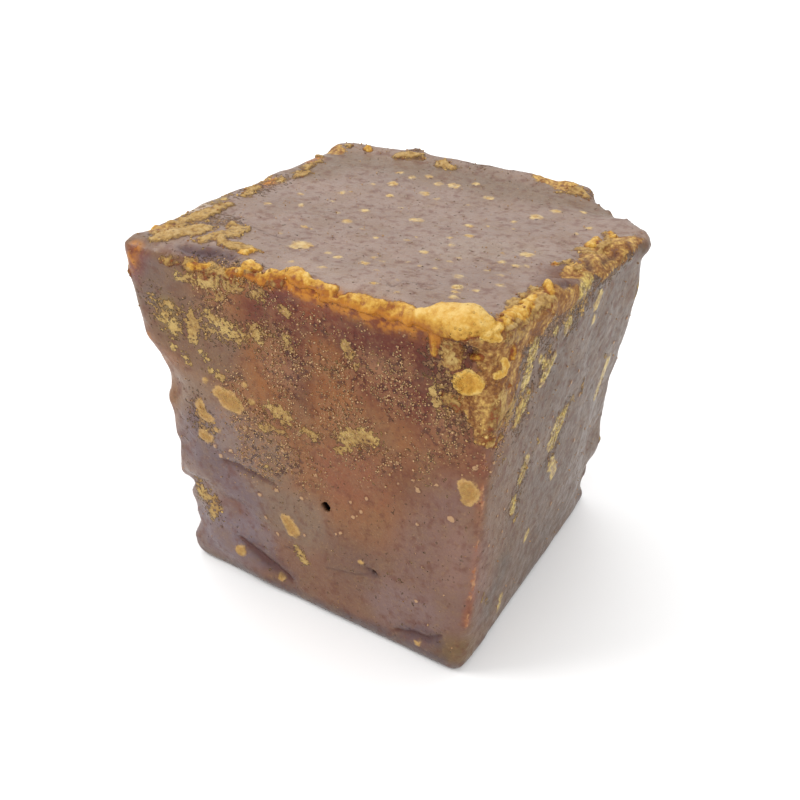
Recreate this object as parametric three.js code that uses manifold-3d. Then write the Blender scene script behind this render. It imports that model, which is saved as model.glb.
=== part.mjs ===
// A block of jaggery: unrefined cane sugar boiled down, cast in a tapered wooden mould, turned out and
// left to cure. It is one solid. The wide end is up, so the sides lean in towards the foot. The faces keep
// the gentle swell of the mould, the rim of the top stands up as a lip of crusted sugar, the corner at the
// back right was cut off on a slant, and the edge at the front left is chipped.
//
// Units are millimetres. X runs along the front face, Y towards the back and Z up. The sizes and places
// below are in the mould's frame, whose origin is near the middle of the foot. At the end the block is
// shifted so that the part's origin is under the middle of its box, on the surface that it stands on.

import * as THREE from "three";
import { ImprovedNoise } from "three/addons/math/ImprovedNoise.js";
import { mergeVertices } from "three/addons/utils/BufferGeometryUtils.js";
import Module from "manifold-3d";

// Driving dimensions. The corners are those of the sharp block, before its edges are rounded.
const HEIGHT = 95;
const TOP = {
  frontLeft: [-51.9, -50.6],
  frontRight: [45.5, -42],
  backRight: [57, 60],
  backLeft: [-51.5, 50],
};
const FOOT = {
  frontLeft: [-40.6, -43.2],
  frontRight: [45.5, -45.4],
  backRight: [44.4, 45.8],
  backLeft: [-42.5, 43],
};
const EDGE_RADIUS = 4;

// The grid that carries the relief. Its lines crowd towards the edges, where the crust is.
const CELLS = { across: 28, up: 36 };
const CROWDING = { across: 0.32, up: 0.24 };

// The slanting cut down the corner at the back right, from the top of the cut to its foot.
const CORNER_CUT = { top: [39.5, 43], foot: [45, 47], turn: THREE.MathUtils.degToRad(44) };

// Smooth unevenness: height and wavelength of the waves, the stretch of noise they come from and the mean
// that they waver about, which is 0 where it isn't given.
const SWELL = { height: 0.9, wavelength: 34, stretch: 0.6 };
const DIMPLES = { height: 0.35, wavelength: 9, stretch: 5.2 };
const CRAGS = { height: 1.25, wavelength: 6.5, stretch: 3.1 };
const FINE_CRAGS = { height: 0.6, wavelength: 3.2, stretch: 9.7 };
const CUT_WAVER = { height: 0.9, wavelength: 11.3, stretch: 7.3 };
const LIP_WAVER = { mean: 0.6, height: 0.7, wavelength: 11, stretch: 1.9 };
const LUMP_WAVER = { mean: 0.85, height: 0.5, wavelength: 4.5, stretch: 2.4 };
const HOLLOW_WAVER = { mean: 0.9, height: 0.3, wavelength: 5, stretch: 8.8 };

// The crags reach this far in from the edges, and their floor lies this much below the smooth surface.
const CRAG_REACH = 7;
const CRAG_FLOOR = 0.3;
const TOP_SAG = 0.9;

// A point of the cube is on its top where its z is above this, just under 1.
const ON_TOP = 1 - 1e-6;

// The foot is cut flat, this far above the lowest point of the cast form, and the relief fades out just
// above it.
const FOOT_TRIM = 1;
const FOOT_FADE = 4;

// The lip stands up on the edges of the top, and out over the sides from this level of the cube upwards.
const LIP = { height: 1.5, width: 3.2, fromLevel: 0.9 };

// A lump or hollow keeps its full height out to this share of its reach.
const FULL_OUT_TO = 0.25;

// Crusted lumps: where, how far they reach along x, y and z, and how far they stand out.
const LUMPS = [
  { name: "gold pad over the front right corner", at: [37, -41, 95], reach: [12, 6, 7], height: 3.0 },
  { name: "end of the gold pad", at: [29, -44, 93.5], reach: [6, 4, 4], height: 1.4 },
  { name: "knob in the middle of the front lip", at: [-4, -45, 95], reach: [5.5, 4, 4.5], height: 1.8 },
  { name: "crust at the front left corner", at: [-41, -42, 95], reach: [9, 7, 4], height: 0.3 },
  { name: "crust inside the left edge", at: [-31, -37, 95], reach: [8, 6, 4], height: 1.5 },
  { name: "crust along the left edge", at: [-46, -16, 95], reach: [5, 17, 4], height: 0.3 },
  { name: "knob at the back left corner", at: [-48, 46, 95], reach: [7, 8, 5], height: 1.4 },
  { name: "crust beside the back left corner", at: [-37, 50, 95], reach: [15, 5, 5], height: 1.7 },
  { name: "knob on the back edge", at: [-27, 51, 95], reach: [6, 3.5, 4], height: 2.0 },
  { name: "crust along the back edge", at: [-6, 52.5, 95], reach: [36, 5, 5], height: 1.3 },
  { name: "knob behind the middle", at: [10, 54, 95], reach: [5, 3.5, 4], height: 1.4 },
  { name: "crust at the cut corner", at: [24, 53, 95], reach: [6, 3.5, 4], height: 0.8 },
  { name: "near knob of the right edge", at: [45, -16, 95], reach: [4, 5, 4.5], height: 2.0 },
  { name: "middle knob of the right edge", at: [46, 4, 95], reach: [4, 6, 4], height: 1.6 },
  { name: "far knob of the right edge", at: [48, 20, 94], reach: [5, 6, 4], height: 1.8 },
  { name: "tip of the cut corner", at: [54, 30, 93.5], reach: [6, 7, 5], height: 1.6 },
  { name: "crust down the front right edge", at: [44, -41, 76], reach: [6, 6, 14], height: 1.1 },
  { name: "spur below the notch", at: [-47, -47, 52], reach: [8, 8, 2.8], height: 2.6 },
  { name: "foot of the left edge", at: [-41, -42, 5], reach: [14, 4, 6], height: 1.0 },
];

// Hollows: where, how far they reach, and how deep they are.
const HOLLOWS = [
  { name: "trough behind the front lip", at: [-25, -47, 94.5], reach: [8.5, 4, 4], depth: 3.0 },
  { name: "dip in the front lip", at: [20, -46, 95], reach: [10, 5, 5], depth: 1.2 },
  { name: "broken place under the gold pad", at: [37.5, -42, 87], reach: [4.5, 4, 3], depth: 2.0 },
  { name: "gap between the knobs of the right edge", at: [45, -5, 95], reach: [4, 4, 4], depth: 2.0 },
  { name: "second gap of the right edge", at: [48, 12, 95], reach: [4, 3.5, 4], depth: 1.6 },
  { name: "worn edge above the cut", at: [36, 47, 95], reach: [11, 11, 5], depth: 1.9 },
  { name: "worn lip at the front left corner", at: [-51, -36, 97], reach: [9, 16, 5], depth: 1.3 },
  { name: "lean of the back right edge", at: [47, 34, 42], reach: [11, 16, 34], depth: 1.7 },
  { name: "worn upper half of the front left edge", at: [-47, -46, 56], reach: [13, 13, 15], depth: 3.4 },
  { name: "worn lower half of the front left edge", at: [-44, -45, 39], reach: [12, 12, 13], depth: 1.9 },
  { name: "worn foot of the front left edge", at: [-42, -43, 15], reach: [12, 12, 12], depth: 2.4 },
  { name: "worn place at the back left edge", at: [-46, 45, 58], reach: [8, 8, 12], depth: 2.4 },
  { name: "worn place at the back right foot", at: [43, 42, 10], reach: [12, 14, 13], depth: 3.2 },
];

// Ledges of the front face. Below each line, given by its ends in x and z, the sugar lies further in by
// the depth, or further out where that is negative, and comes back over the fade.
const LEDGES = [
  { from: [-44, 32], to: [-14, 25], depth: 1.6, fade: 13 },
  { from: [-32, 15], to: [-6, 4], depth: -1.4, fade: 12 },
];
const LEDGE_STEP = 3;

// Along its line a ledge rises over the first pair of shares and sinks over the second.
const LEDGE_ENDS = { rise: [-0.2, 0.1], sink: [0.7, 1.2] };

// A face is the front one where its normal's y is below this.
const FRONT_FACING = -0.5;

// Chips knocked out of the edges, as rough pebbles that are cut away.
const CHIPS = [
  { name: "notch in the front left edge", at: [-50.5, -48.5, 57], size: [9, 9.5, 3.4], turn: [0.3, 0.1, 0.5] },
  { name: "bite below the notch", at: [-51, -49, 45.5], size: [8, 8, 3.5], turn: [0.2, 0.2, 0.1] },
  { name: "bite low in the front left", at: [-47, -45.8, 20.4], size: [11, 10, 4], turn: [0.2, -0.5, 0.4] },
  { name: "small bite above the foot", at: [-46, -46, 9], size: [5, 6, 3], turn: [0, 0.2, 0.8] },
  { name: "chip at the front right edge", at: [48.5, -46, 61], size: [5.5, 4.5, 7], turn: [0.2, 0.3, 0.6] },
  { name: "chip in the left top edge", at: [-56.5, 12, 98], size: [6, 9, 4.5], turn: [0, 0.3, 0.1] },
  { name: "chip in the back left edge", at: [-52, 51, 30], size: [8, 8, 7], turn: [0.1, 0.4, 0.7] },
  { name: "chip in the cut corner", at: [57, 43, 74], size: [6, 7, 6], turn: [0.4, 0.2, 0.1] },
];

// Air holes left by bubbles in the syrup, as slanting ellipsoids: where, half sizes and tilt.
const AIR_HOLES = [
  { at: [5.1, -45, 35.6], size: [1.2, 3.6, 1.7], tilt: -0.5 },
  { at: [18.7, -44.8, 20.4], size: [0.9, 3, 1.1], tilt: -0.3 },
  { at: [-18, -49, 93.8], size: [1.1, 2.6, 0.9], tilt: 0.2 },
  { at: [-12, 47.5, 60], size: [1.4, 3, 1.1], tilt: 0.4 },
  { at: [20, 49, 38], size: [1, 2.6, 1.2], tilt: -0.6 },
  { at: [-45.5, 8, 47], size: [2.6, 1.3, 1], tilt: 0.3 },
];

// Rings of triangles on the pebbles and air holes, and how rough the pebbles are for their size of 1.
const BALL_DETAIL = 1;
const PEBBLE = { roughness: 0.3, wavelength: 0.7 };

const perlin = new ImprovedNoise();

// Smooth noise between about -1 and 1 with the given wavelength. Each stretch of it looks different.
function waves(point, wavelength, stretch) {
  return perlin.noise(point.x / wavelength + stretch, point.y / wavelength + stretch, point.z / wavelength);
}

function waver(point, { mean = 0, height, wavelength, stretch }) {
  return mean + height * waves(point, wavelength, stretch);
}

// 1 at the centre of a feature and 0 where it ends.
function within(point, feature) {
  const [x, y, z] = feature.at;
  const [rx, ry, rz] = feature.reach;
  const away = Math.hypot((point.x - x) / rx, (point.y - y) / ry, (point.z - z) / rz);
  return 1 - THREE.MathUtils.smoothstep(away, FULL_OUT_TO, 1);
}

// Moves a grid line of the 2 x 2 x 2 cube towards the nearer edge of its face.
function crowd(t, crowding) {
  return t * (1 + crowding - crowding * t * t);
}

// Moves a point of the 2 x 2 x 2 cube's surface onto the cube with its edges rounded.
function roundEdges(point, radius) {
  const inside = point.clone().clampScalar(radius - 1, 1 - radius);
  const out = point.clone().sub(inside);
  return inside.add(out.setLength(radius));
}

// A point of the 2 x 2 x 2 cube as it lies in the tapered block.
function placeInBlock(point) {
  const right = (point.x + 1) / 2;
  const back = (point.y + 1) / 2;
  const height = THREE.MathUtils.lerp(-FOOT_TRIM, HEIGHT, (point.z + 1) / 2);
  const up = height / HEIGHT;
  const across = (level, axis) => {
    const front = THREE.MathUtils.lerp(level.frontLeft[axis], level.frontRight[axis], right);
    const rear = THREE.MathUtils.lerp(level.backLeft[axis], level.backRight[axis], right);
    return THREE.MathUtils.lerp(front, rear, back);
  };
  return new THREE.Vector3(
    THREE.MathUtils.lerp(across(FOOT, 0), across(TOP, 0), up),
    THREE.MathUtils.lerp(across(FOOT, 1), across(TOP, 1), up),
    height,
  );
}

// Pushes what lies outside the slanting corner cut back onto it.
function cutCorner(point) {
  const up = point.z / HEIGHT;
  const x = THREE.MathUtils.lerp(CORNER_CUT.foot[0], CORNER_CUT.top[0], up);
  const y = THREE.MathUtils.lerp(CORNER_CUT.foot[1], CORNER_CUT.top[1], up);
  const normal = new THREE.Vector3(Math.cos(CORNER_CUT.turn), Math.sin(CORNER_CUT.turn), 0);
  const beyond = (point.x - x) * normal.x + (point.y - y) * normal.y - waver(point, CUT_WAVER);
  return beyond > 0 ? point.addScaledVector(normal, -beyond) : point;
}

// How near a point of the cube is to one of its edges: 1 on the edge, 0 from the crags' reach inwards.
function nearEdge(cubePoint) {
  const [, middle] = cubePoint.toArray().map(Math.abs).sort((a, b) => b - a);
  const inwards = ((1 - middle) * HEIGHT) / 2;
  return 1 - THREE.MathUtils.smoothstep(inwards, 0, CRAG_REACH);
}

// The share of the lip's height that a point of the cube gets.
function lip(cubePoint) {
  if (cubePoint.z < LIP.fromLevel) return 0;
  const inwards = ((1 - Math.max(Math.abs(cubePoint.x), Math.abs(cubePoint.y))) * HEIGHT) / 2;
  return Math.exp(-((inwards / LIP.width) ** 2));
}

// The sag in the middle of the top, where the sugar shrank as it set.
function sag(cubePoint) {
  if (cubePoint.z < ON_TOP) return 0;
  return TOP_SAG * (1 - cubePoint.x ** 2) * (1 - cubePoint.y ** 2);
}

// Depth of the ledges at a point of the front face, measured below each line.
function ledges(point, normal) {
  if (normal.y > FRONT_FACING) return 0;
  let depth = 0;
  for (const ledge of LEDGES) {
    const [x0, z0] = ledge.from;
    const [x1, z1] = ledge.to;
    const along = (point.x - x0) / (x1 - x0);
    const below = THREE.MathUtils.lerp(z0, z1, along) - point.z;
    const rise = THREE.MathUtils.smoothstep(along, ...LEDGE_ENDS.rise);
    const sink = THREE.MathUtils.smoothstep(along, ...LEDGE_ENDS.sink);
    const step = THREE.MathUtils.smoothstep(below, 0, LEDGE_STEP);
    const fade = THREE.MathUtils.smoothstep(below, LEDGE_STEP, ledge.fade);
    depth += ledge.depth * rise * (1 - sink) * step * (1 - fade);
  }
  return depth;
}

// How far the real surface stands out of the smooth one.
function relief(point, normal, cubePoint) {
  const crags = Math.abs(waver(point, CRAGS)) - CRAG_FLOOR + waver(point, FINE_CRAGS);
  const lumpy = waver(point, LUMP_WAVER);
  const hollowed = waver(point, HOLLOW_WAVER);
  let height =
    waver(point, SWELL) +
    waver(point, DIMPLES) +
    crags * nearEdge(cubePoint) +
    LIP.height * lip(cubePoint) * waver(point, LIP_WAVER) -
    sag(cubePoint) -
    ledges(point, normal);
  for (const lump of LUMPS) height += lump.height * within(point, lump) * lumpy;
  for (const hollow of HOLLOWS) height -= hollow.depth * within(point, hollow) * hollowed;
  return height * THREE.MathUtils.smoothstep(point.z, 0, FOOT_FADE);
}

function blockGeometry() {
  const box = new THREE.BoxGeometry(2, 2, 2, CELLS.across, CELLS.across, CELLS.up);
  const geometry = mergeVertices(bare(box));
  const position = geometry.getAttribute("position");
  const cube = [];
  for (let i = 0; i < position.count; i++) {
    const point = new THREE.Vector3().fromBufferAttribute(position, i);
    point.set(
      crowd(point.x, CROWDING.across),
      crowd(point.y, CROWDING.across),
      crowd(point.z, CROWDING.up),
    );
    cube.push(point);
    const placed = cutCorner(placeInBlock(roundEdges(point, (2 * EDGE_RADIUS) / HEIGHT)));
    position.setXYZ(i, placed.x, placed.y, placed.z);
  }
  geometry.computeVertexNormals();
  const normals = geometry.getAttribute("normal");
  for (let i = 0; i < position.count; i++) {
    const point = new THREE.Vector3().fromBufferAttribute(position, i);
    const normal = new THREE.Vector3().fromBufferAttribute(normals, i);
    point.addScaledVector(normal, relief(point, normal, cube[i]));
    position.setXYZ(i, point.x, point.y, point.z);
  }
  geometry.deleteAttribute("normal");
  return geometry;
}

// A rough pebble of the given half sizes, for cutting a chip.
function pebbleGeometry(chip) {
  const geometry = mergeVertices(bare(new THREE.IcosahedronGeometry(1, BALL_DETAIL)));
  const position = geometry.getAttribute("position");
  for (let i = 0; i < position.count; i++) {
    const point = new THREE.Vector3().fromBufferAttribute(position, i);
    const stretch = chip.at[0] + chip.at[1];
    point.multiplyScalar(1 + PEBBLE.roughness * waves(point, PEBBLE.wavelength, stretch));
    position.setXYZ(i, point.x, point.y, point.z);
  }
  geometry.scale(...chip.size);
  geometry.applyMatrix4(new THREE.Matrix4().makeRotationFromEuler(new THREE.Euler(...chip.turn)));
  return geometry.translate(...chip.at);
}

function airHoleGeometry(hole) {
  const geometry = mergeVertices(bare(new THREE.IcosahedronGeometry(1, BALL_DETAIL)));
  geometry.scale(...hole.size);
  geometry.rotateY(hole.tilt);
  return geometry.translate(...hole.at);
}

// What lies under the foot, to be cut away.
function underFootGeometry() {
  const side = 2 * HEIGHT;
  return mergeVertices(bare(new THREE.BoxGeometry(side, side, side).translate(0, 0, -side / 2)));
}

// The geometry with its places alone, so that vertices on a seam can be merged.
function bare(geometry) {
  geometry.deleteAttribute("normal");
  geometry.deleteAttribute("uv");
  return geometry;
}

const wasm = await Module();
wasm.setup();

function toSolid(geometry) {
  const mesh = new wasm.Mesh({
    numProp: 3,
    vertProperties: new Float32Array(geometry.getAttribute("position").array),
    triVerts: new Uint32Array(geometry.index.array),
  });
  return new wasm.Manifold(mesh);
}

function toGeometry(solid) {
  const mesh = solid.getMesh();
  const geometry = new THREE.BufferGeometry();
  geometry.setAttribute("position", new THREE.BufferAttribute(mesh.vertProperties, 3));
  geometry.setIndex(new THREE.BufferAttribute(mesh.triVerts, 1));
  geometry.computeVertexNormals();
  return geometry;
}

let solid = toSolid(blockGeometry());
for (const chip of CHIPS) solid = solid.subtract(toSolid(pebbleGeometry(chip)));
for (const hole of AIR_HOLES) solid = solid.subtract(toSolid(airHoleGeometry(hole)));
solid = solid.subtract(toSolid(underFootGeometry()));

const jaggery = new THREE.MeshStandardMaterial({ color: 0x7d5540, roughness: 0.5, metalness: 0 });
const block = new THREE.Mesh(toGeometry(solid), jaggery);
block.name = "jaggery_block";
const bounds = new THREE.Box3().setFromObject(block);
const middle = bounds.getCenter(new THREE.Vector3());
block.position.set(-middle.x, -middle.y, -bounds.min.z);

const part = new THREE.Group();
part.add(block);

export default part;
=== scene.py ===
"""A block of jaggery, cast in a tapered mould: dark waxy sugar with a mealy golden crust, golden spots,
a sandy bloom of fine crystals and amber edges with a painted glow, on a pale floor in soft studio light."""
import math
from collections import defaultdict

import bmesh
import bpy
import numpy as np
from mathutils import Matrix, Vector
from mathutils.bvhtree import BVHTree


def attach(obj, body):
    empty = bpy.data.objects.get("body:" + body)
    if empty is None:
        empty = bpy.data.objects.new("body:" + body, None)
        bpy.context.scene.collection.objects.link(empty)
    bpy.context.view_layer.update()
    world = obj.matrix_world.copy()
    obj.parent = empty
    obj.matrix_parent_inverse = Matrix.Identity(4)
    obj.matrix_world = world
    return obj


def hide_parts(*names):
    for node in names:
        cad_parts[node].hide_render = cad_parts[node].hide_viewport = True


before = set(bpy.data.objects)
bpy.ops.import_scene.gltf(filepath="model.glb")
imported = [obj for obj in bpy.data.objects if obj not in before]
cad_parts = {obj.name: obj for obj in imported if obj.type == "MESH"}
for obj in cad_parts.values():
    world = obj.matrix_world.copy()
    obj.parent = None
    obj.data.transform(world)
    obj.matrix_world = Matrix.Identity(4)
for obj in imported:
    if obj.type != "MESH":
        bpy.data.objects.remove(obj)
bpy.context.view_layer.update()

NODE = "jaggery_block"
BODY = "root"
MM = 0.001

# -------- sizes, in millimetres
VOXEL = 1.2
REFINE_WITHIN = 0.6  # of the edge of a feature
STROKE_REACH = 12  # beyond this a stroke counts as far
FAR = 99.0
WORN_REACH = 3
OUTSIDE = 60  # from the middle to beside a face
CRUST_HEIGHT = 1.0
DISC_HEIGHT = 0.25
SPOT_HEIGHT = 0.12
SPECK_HEIGHT = 0.25
EDGE_LINE_HEIGHT = 0.3
MEAL_HEIGHT = 0.15
GILT_HEIGHT = 0.2
SWELL_HEIGHT = 0.22
RIPPLE_HEIGHT = 0.06
LEDGE_DEPTH = 1.0
CREASE_DEPTH = 0.4
HOLE_DEPTH = 3.0
OFF_FLOOR = 0.02

# -------- counts
SMOOTHING_ROUNDS = 8
WORN_ROUNDS = 12
CAVITY_ROUNDS = 12
CRUMBS = 700
GRAINS = 6000


def placed(name, data):
    """A new object in the scene."""
    thing = bpy.data.objects.new(name, data)
    bpy.context.scene.collection.objects.link(thing)
    return thing


# -------- camera
FRAME_PX = 800
FOCAL_PX = 1000.0
SENSOR_MM = 36.0
CAMERA_AT = Vector((113.87, -216.34, 185.26)) * MM
CAMERA_YAW, CAMERA_PITCH, CAMERA_ROLL = (math.radians(a) for a in (28.465, 30.489, 3.073))


def make_camera():
    """The camera at the photograph's viewing angle: it looks down on the corner at the front right."""
    cos_p, sin_p = math.cos(CAMERA_PITCH), math.sin(CAMERA_PITCH)
    back = Vector((math.sin(CAMERA_YAW) * cos_p, -math.cos(CAMERA_YAW) * cos_p, sin_p))
    level = Vector((math.cos(CAMERA_YAW), math.sin(CAMERA_YAW), 0))
    upright = back.cross(level)
    right = math.cos(CAMERA_ROLL) * level + math.sin(CAMERA_ROLL) * upright
    up = back.cross(right)
    data = bpy.data.cameras.new("camera")
    data.sensor_width = SENSOR_MM
    data.lens = SENSOR_MM * FOCAL_PX / FRAME_PX
    data.clip_start, data.clip_end = 0.01, 20
    camera = placed("camera", data)
    turn = Matrix((right, up, back)).transposed().to_4x4()
    camera.matrix_world = Matrix.Translation(CAMERA_AT) @ turn
    bpy.context.scene.camera = camera
    return right, up, back


RIGHT, UP, BACK = make_camera()


def look_through(x, y):
    """The direction in which the camera sees a pixel of its 800 x 800 frame."""
    half = FRAME_PX / 2
    return (-BACK + RIGHT * ((x - half) / FOCAL_PX) - UP * ((y - half) / FOCAL_PX)).normalized()


# -------- noise and fields on points (mm)
WAVE_GAIN = 1.6
OCTAVE_FADE = 2
BILLOW_FADE = 1.7


def gradient_table(seed):
    rng = np.random.default_rng(seed)
    vectors = rng.normal(size=(256, 3))
    return rng.permutation(256), vectors / np.linalg.norm(vectors, axis=1, keepdims=True)


def waves(points, wavelength, seed):
    """Gradient noise, about -1 to 1, with the given wavelength."""
    order, vectors = gradient_table(seed)
    scaled = points / wavelength
    cell = np.floor(scaled).astype(np.int64)
    inside = scaled - cell
    ease = inside ** 3 * (inside * (inside * 6 - 15) + 10)
    total = np.zeros(len(points))
    for shift in np.ndindex(2, 2, 2):
        corner = cell + shift
        pick = order[corner[:, 0] & 255]
        pick = order[(pick + corner[:, 1]) & 255]
        pick = order[(pick + corner[:, 2]) & 255]
        slope = np.einsum("ij,ij->i", vectors[pick], inside - shift)
        total += slope * np.prod(np.abs(1 - np.array(shift) - ease), axis=1)
    return total * WAVE_GAIN


def rough(points, wavelength, seed, octaves=3):
    """Several octaves of waves, each finer and lower than the last."""
    return sum(waves(points, wavelength / 2 ** i, seed + i) / OCTAVE_FADE ** i for i in range(octaves))


def billow(points, wavelength, seed, octaves=3):
    """Rounded lumps with creases between them, from 0 to about 1."""
    layers = (np.abs(waves(points, wavelength / 2 ** i, seed + i)) / BILLOW_FADE ** i for i in range(octaves))
    return sum(layers)


def smoothstep(value, low, high):
    """0 below low and 1 above high, eased between."""
    t = np.clip((value - low) / (high - low), 0, 1)
    return t * t * (3 - 2 * t)


def distance_to(points, strokes):
    """Signed distance from points to strokes, each a list of (place, radius) pairs."""
    nearest = np.full(len(points), FAR)
    for stroke in strokes:
        for (start, r0), (end, r1) in zip(stroke, stroke[1:] or stroke):
            middle, along = (start + end) / 2, end - start
            reach = max(r0, r1) + STROKE_REACH
            close = np.linalg.norm(points - middle, axis=1) < np.linalg.norm(along) / 2 + reach
            part = points[close]
            t = np.clip((part - start) @ along / max(along @ along, 1e-9), 0, 1)
            away = np.linalg.norm(part - start - t[:, None] * along, axis=1) - (r0 + t * (r1 - r0))
            nearest[close] = np.minimum(nearest[close], away)
    return nearest


# -------- the body's mesh
def remeshed(source, voxel):
    """The CAD node's surface as an even mesh of small squares."""
    copy = placed("even_mesh", source.data.copy())
    modifier = copy.modifiers.new("remesh", "REMESH")
    modifier.mode = "VOXEL"
    modifier.voxel_size = voxel * MM
    modifier.adaptivity = 0
    shown = copy.evaluated_get(bpy.context.evaluated_depsgraph_get())
    mesh = bpy.data.meshes.new_from_object(shown)
    bpy.data.objects.remove(copy)
    return mesh


def edges_of(mesh):
    edges = np.empty(len(mesh.edges) * 2, np.int32)
    mesh.edges.foreach_get("vertices", edges)
    return edges.reshape(-1, 2)


def neighbour_mean(values, edges):
    total = np.zeros_like(values)
    for column in range(values.shape[1]):
        total[:, column] = np.bincount(edges[:, 0], values[edges[:, 1], column], len(values))
        total[:, column] += np.bincount(edges[:, 1], values[edges[:, 0], column], len(values))
    return total / np.bincount(edges.ravel(), minlength=len(values))[:, None]


def smoothed(values, edges, rounds, shrink=0.5, grow=-0.52):
    """Smooths without shrinking: each round is a step in and a step out."""
    for step in (shrink, grow) * rounds:
        values = values + step * (neighbour_mean(values, edges) - values)
    return values


def blurred(values, edges, rounds):
    for _ in range(rounds):
        values = (values + neighbour_mean(values, edges)) / 2
    return values


def set_places(mesh, places):
    mesh.vertices.foreach_set("co", (places * MM).astype(np.float32).ravel())
    mesh.update()


def vectors_of(mesh, name):
    vectors = np.empty(len(mesh.vertices) * 3, np.float32)
    mesh.vertices.foreach_get(name, vectors)
    return vectors.reshape(-1, 3).astype(float)


def places_of(mesh):
    """The places of a mesh's vertices, in millimetres."""
    return vectors_of(mesh, "co") / MM


def normals_of(mesh):
    return vectors_of(mesh, "normal")


def tree_of(mesh):
    return BVHTree.FromPolygons([v.co for v in mesh.vertices], [p.vertices for p in mesh.polygons])


def refined(mesh, chosen):
    """Halves the squares of the mesh round the chosen vertices."""
    cut = bmesh.new()
    cut.from_mesh(mesh)
    cut.verts.ensure_lookup_table()
    around = {edge for index in np.flatnonzero(chosen) for edge in cut.verts[index].link_edges}
    around = sorted(around, key=lambda edge: edge.index)
    bmesh.ops.subdivide_edges(cut, edges=around, cuts=1, use_grid_fill=True)
    cut.to_mesh(mesh)
    cut.free()
    mesh.update()


mesh = remeshed(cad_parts[NODE], VOXEL)
set_places(mesh, smoothed(places_of(mesh), edges_of(mesh), SMOOTHING_ROUNDS))
tree = tree_of(mesh)
HEIGHT = places_of(mesh)[:, 2].max()


# -------- where the features are
def seen_at(x, y):
    """The place on the block, in millimetres, that the camera sees at a pixel, or None beside it."""
    hit, *_ = tree.ray_cast(CAMERA_AT, look_through(x, y))
    return None if hit is None else np.array(hit) / MM


def on_block(place):
    """The place of the block's surface nearest to one in millimetres."""
    hit, *_ = tree.find_nearest(Vector(place) * MM)
    return np.array(hit) / MM


def strokes_seen(strokes):
    """Strokes given by pixels, as strokes on the block. Each point is x, y and a radius in millimetres."""
    laid = []
    for stroke in strokes:
        points = [(seen_at(x, y), radius) for x, y, radius in stroke]
        points = [(place, radius) for place, radius in points if place is not None]
        if points:
            laid.append(points)
    return laid


def dots(points):
    """Strokes of one point each."""
    return [[point] for point in points]


# The rim of the cut corner, which is worn smooth.
WORN_SEEN = [[(588, 196, 2), (600, 204, 4), (612, 209, 4)]]


def worn(mesh):
    """Smooths the mesh where the block is worn."""
    sharp = places_of(mesh)
    wear = 1 - smoothstep(distance_to(sharp, strokes_seen(WORN_SEEN)), 0, WORN_REACH)
    set_places(mesh, sharp + wear[:, None] * (blurred(sharp, edges_of(mesh), WORN_ROUNDS) - sharp))


worn(mesh)
tree = tree_of(mesh)

# The smooth pad over the front right corner, with its tail along the lip and its drip.
PAD_SEEN = [
    [(410, 317, 1.6), (425, 316, 2.5), (442, 313, 4), (458, 313, 4.8), (472, 318, 4.4)],
    [(472, 318, 4.4), (484, 325, 3.2), (497, 333, 1.3)],
    [(428, 322, 2.4), (445, 329, 3), (460, 332, 2.4)],
    [(434, 336, 1.5), (434, 346, 1.2), (434, 355, 0.8)],
]

# Thick golden crust on the lip of the front edge and in lumps round the rim.
CRUST_SEEN = [
    [(190, 265, 0.9), (207, 266, 1)], [(228, 271, 1), (239, 271, 1.1)],
    [(247, 265, 1.7), (257, 268, 1.7)], [(270, 275, 1.1), (287, 274, 1.3)],
    [(248, 277, 0.9), (264, 279, 1.2)], [(292, 272, 2.6), (300, 278, 2.7)],
    [(305, 283, 1.6), (320, 287, 1.8), (334, 291, 1.6)], [(324, 297, 1.2), (346, 301, 1.3)],
    [(350, 300, 1.6), (362, 303, 2), (376, 308, 1.7), (392, 312, 2), (408, 315, 2.4)],
    [(372, 301, 0.8), (382, 302, 0.8)], [(548, 285, 1.3), (551, 292, 1.4)],
    [(518, 316, 2), (527, 306, 1.8)], [(590, 246, 1.4), (597, 240, 1.5)],
    [(610, 232, 1.2), (613, 238, 1.2)], [(243, 253, 1.3), (252, 251, 0.9)],
    [(503, 322, 1.5), (512, 314, 1.9), (520, 308, 1.2)], [(493, 331, 1.2), (499, 326, 1.4)],
    [(524, 303, 1.6), (533, 298, 1.2)], [(555, 264, 1.1)], [(472, 357, 1), (480, 359, 0.9)],
    [(462, 347, 0.8)], [(512, 349, 1.1), (511, 358, 0.9)], [(509, 385, 0.9)],
]

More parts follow.
